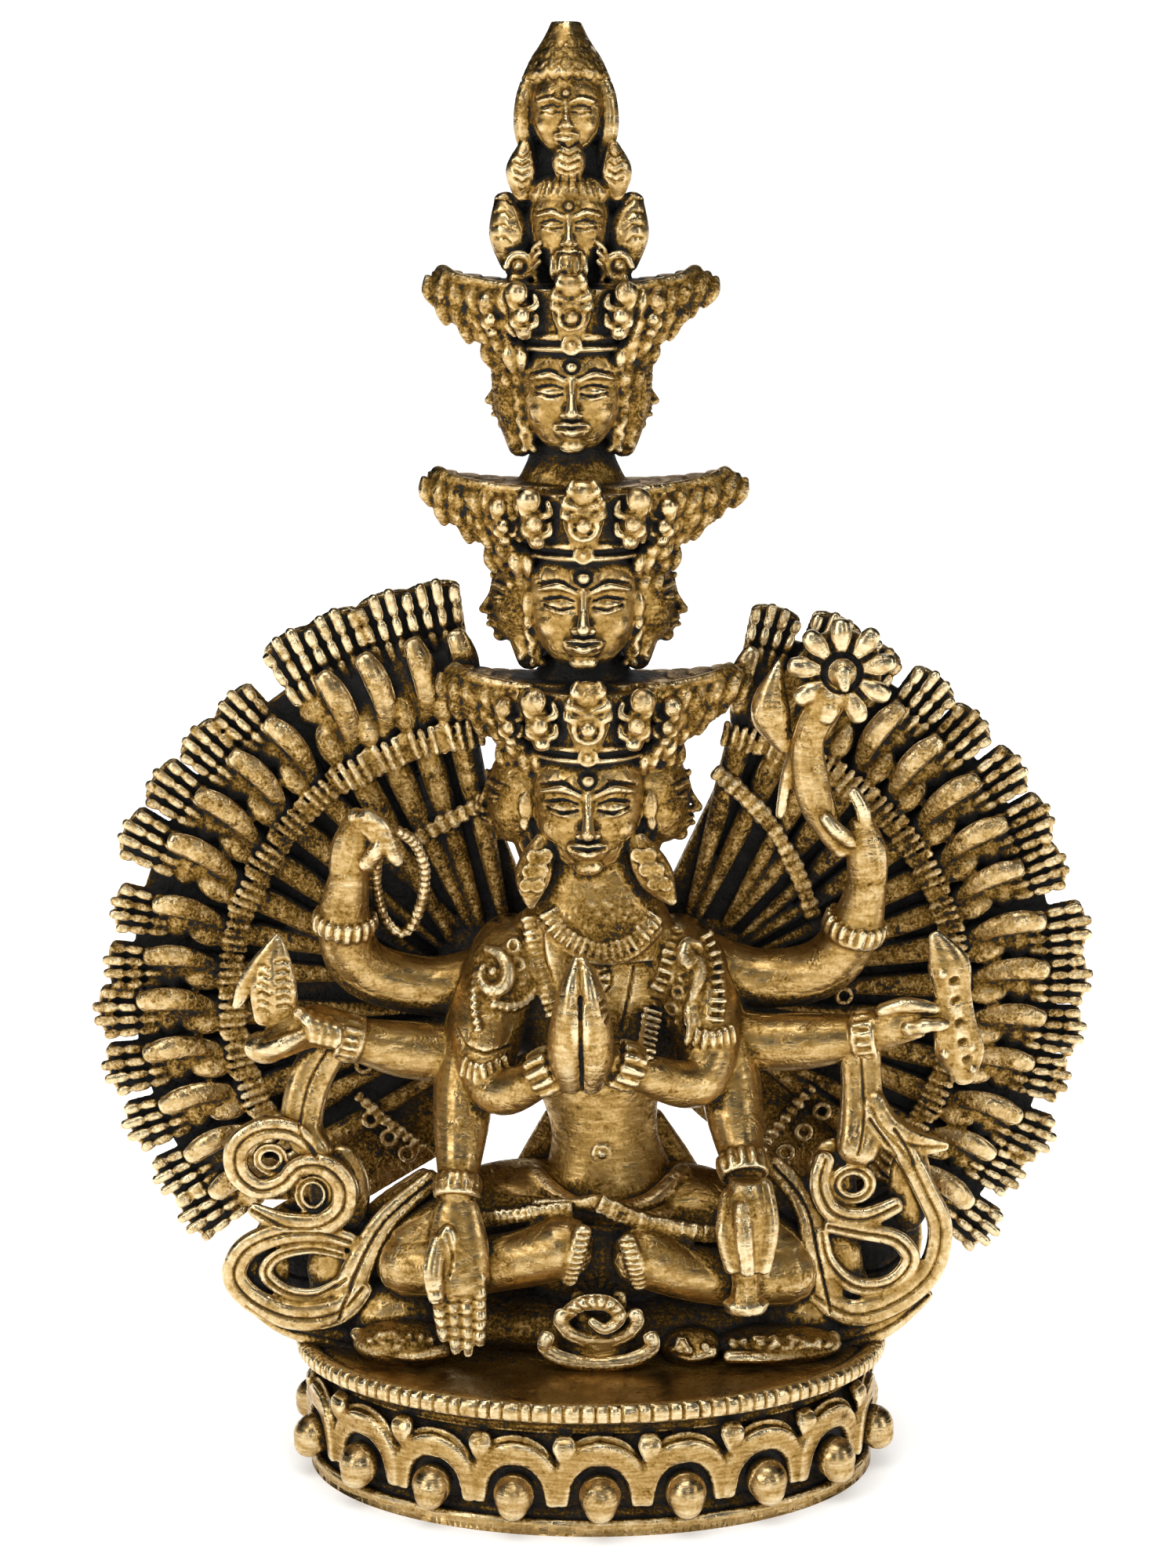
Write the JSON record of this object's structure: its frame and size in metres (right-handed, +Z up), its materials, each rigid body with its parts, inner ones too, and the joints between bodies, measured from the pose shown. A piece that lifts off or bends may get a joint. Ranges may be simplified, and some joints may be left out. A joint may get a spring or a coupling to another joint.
{
  "type": "avalokiteshvara statue",
  "caption": "Small cast brass statuette of a seated many-armed deity with a tower of heads and two fans of hands, on an oval lotus base.",
  "frame": {"origin": "middle of the flat underside of the lotus base", "axes": "+Z up along the figure, -Y the way the statuette faces, +X to the right of someone who looks at its front"},
  "size_m": [0.1641, 0.067, 0.2299],
  "materials": {
    "brass": "aged cast brass, polished on the high places and dark in the recesses"
  },
  "bodies": {
    "root": {"avalokiteshvara_statue": "brass"}
  },
  "joints": []
}
